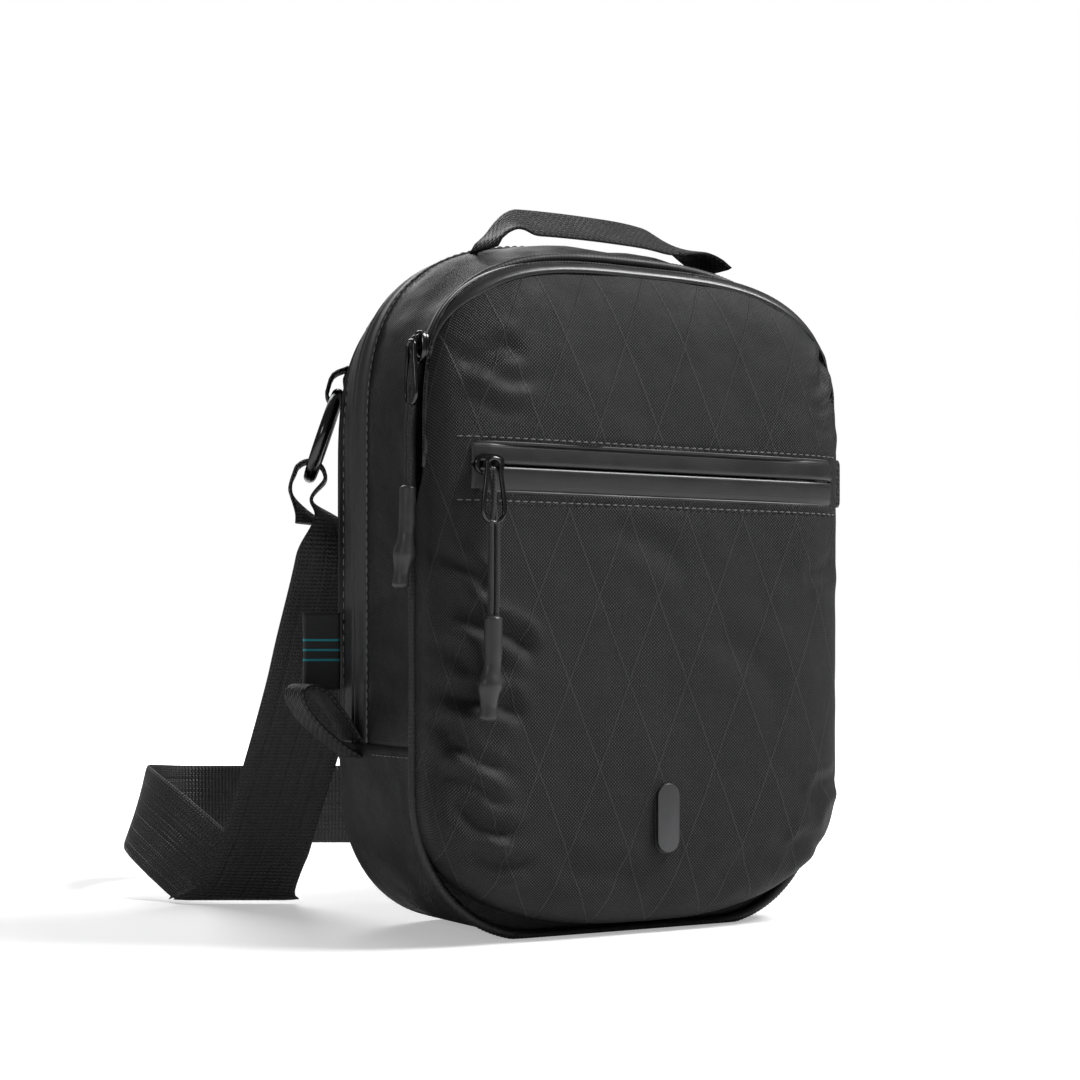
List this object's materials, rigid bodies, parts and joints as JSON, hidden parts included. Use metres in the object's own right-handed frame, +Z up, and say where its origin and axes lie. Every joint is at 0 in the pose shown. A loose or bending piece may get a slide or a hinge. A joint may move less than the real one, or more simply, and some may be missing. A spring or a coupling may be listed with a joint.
{
  "type": "sling bag",
  "caption": "Upright rounded sling bag in dark ripstop fabric with zipped front pocket, curved zips, grab handle, side rings and a webbing shoulder strap.",
  "frame": {"origin": "centre of the flat base's width, on the surface the bag stands on, 21 mm behind the front seam", "axes": "+Z up, -Y towards the front with the badge, +X to the right as seen from the front"},
  "size_m": [0.2598, 0.3212, 0.2915],
  "materials": {
    "shell_fabric": "dense plain weave with raised diamond ripstop lines, satin charcoal",
    "coated_tape": "film-coated water-resistant zip tape, satin",
    "webbing": "woven black webbing, matte",
    "label_fabric": "woven label, matte, with plain teal bars",
    "lining": "grey lining cloth, matte",
    "spacer_mesh": "black spacer mesh over foam, matte",
    "board": "stiffener board, matte",
    "black_metal": "black coated metal, semi-gloss",
    "badge_metal": "dark grey satin metal",
    "black_plastic": "moulded acetal, satin",
    "cord": "braided cord, matte",
    "rubber": "shrink sleeve, satin"
  },
  "bodies": {
    "bag_body": {"main_gusset": "shell_fabric", "lower_gusset": "shell_fabric", "divider_panel": "lining", "bottom_board": "board", "lower_back_panel": "shell_fabric", "slip_pocket": "lining", "main_zip_tape_front": "coated_tape", "front_zip_tape_body": "coated_tape", "front_gusset": "lining", "zip_pull_loop": "webbing", "side_loop": "webbing", "handle_end_left": "webbing", "handle_end_right": "webbing", "shoulder_strap": "webbing"},
    "back_panel": {"rear_strip": "shell_fabric", "main_zip_tape_rear": "coated_tape", "back_shell": "shell_fabric", "back_pad": "spacer_mesh", "back_lining": "lining", "side_label": "label_fabric", "left_ring_tab": "webbing", "right_ring_tab": "webbing"},
    "front_panel": {"front_cover": "shell_fabric", "front_zip_tape_cover": "coated_tape", "pocket_zip_tape_upper": "coated_tape", "pocket_zip_tape_lower": "coated_tape", "pocket_lining": "lining", "badge": "badge_metal"},
    "handle": {"handle_grip": "webbing"},
    "left_ring": {"left_ring": "black_metal"},
    "right_ring": {"right_ring": "black_metal"},
    "strap_adjuster": {"strap_adjuster": "black_plastic"},
    "main_slider": {"main_slider": "black_metal"},
    "main_bail": {"main_bail": "black_metal"},
    "main_pull": {"main_cord": "cord", "main_cord_end": "rubber"},
    "front_slider": {"front_slider": "black_metal"},
    "front_bail": {"front_bail": "black_metal"},
    "front_pull": {"front_cord": "cord", "front_cord_end": "rubber"},
    "pocket_slider": {"pocket_slider": "black_metal"},
    "pocket_bail": {"pocket_bail": "black_metal"},
    "pocket_pull": {"pocket_cord": "cord", "pocket_cord_end": "rubber"}
  },
  "joints": [
    {"name": "main_opening", "type": "hinge", "parent": "bag_body", "child": "back_panel", "pos_m": [0, 0.0525, 0.075], "axis": [-1, 0, 0], "range_deg": [0, 75], "deforming": ["shoulder_strap"]},
    {"name": "front_opening", "type": "hinge", "parent": "bag_body", "child": "front_panel", "pos_m": [0, -0.0212, 0.006], "axis": [1, 0, 0], "range_deg": [0, 12], "deforming": ["front_gusset"]},
    {"name": "handle_rock", "type": "hinge", "parent": "bag_body", "child": "handle", "pos_m": [0, -0.001, 0.2725], "axis": [1, 0, 0], "range_deg": [-38, 6], "deforming": ["handle_end_left", "handle_end_right"]},
    {"name": "left_ring_spin", "type": "hinge", "parent": "back_panel", "child": "left_ring", "pos_m": [-0.0932, 0.0664, 0.2005], "axis": [-0.8679, 0.3786, 0.3215], "continuous": true},
    {"name": "right_ring_spin", "type": "hinge", "parent": "back_panel", "child": "right_ring", "pos_m": [0.0932, 0.0664, 0.2005], "axis": [0.8679, 0.3786, 0.3215], "continuous": true},
    {"name": "strap_adjust", "type": "slide", "parent": "back_panel", "child": "strap_adjuster", "axis": [-0.302, -0.5625, 0.7697], "range_m": [0, 0.03]},
    {"name": "main_zip", "type": "slide", "parent": "bag_body", "child": "main_slider", "axis": [0, 0, 1], "range_m": [0, 0.075]},
    {"name": "main_bail_swing", "type": "hinge", "parent": "main_slider", "child": "main_bail", "pos_m": [0.10177, 0.03, 0.114], "axis": [0, -1, 0], "range_deg": [0, 110]},
    {"name": "main_pull_swing", "type": "hinge", "parent": "main_bail", "child": "main_pull", "pos_m": [0.10177, 0.03, 0.09], "axis": [0, -1, 0], "range_deg": [0, 45]},
    {"name": "front_zip", "type": "hinge", "parent": "bag_body", "child": "front_slider", "pos_m": [-0.046, -0.0285, 0.212], "axis": [0, 1, 0], "range_deg": [0, 60]},
    {"name": "front_bail_swing", "type": "hinge", "parent": "front_slider", "child": "front_bail", "pos_m": [-0.09931, -0.0285, 0.228], "axis": [0, 1, 0], "range_deg": [0, 110]},
    {"name": "front_pull_swing", "type": "hinge", "parent": "front_bail", "child": "front_pull", "pos_m": [-0.09931, -0.0285, 0.204], "axis": [0, 1, 0], "range_deg": [0, 45]},
    {"name": "pocket_zip", "type": "slide", "parent": "front_panel", "child": "pocket_slider", "axis": [1, 0, 0], "range_m": [0, 0.145]},
    {"name": "pocket_bail_swing", "type": "hinge", "parent": "pocket_slider", "child": "pocket_bail", "pos_m": [-0.075, -0.04913, 0.1836], "axis": [-1, 0, 0], "range_deg": [0, 110]},
    {"name": "pocket_pull_swing", "type": "hinge", "parent": "pocket_bail", "child": "pocket_pull", "pos_m": [-0.075, -0.04913, 0.1596], "axis": [-1, 0, 0], "range_deg": [0, 45]}
  ]
}
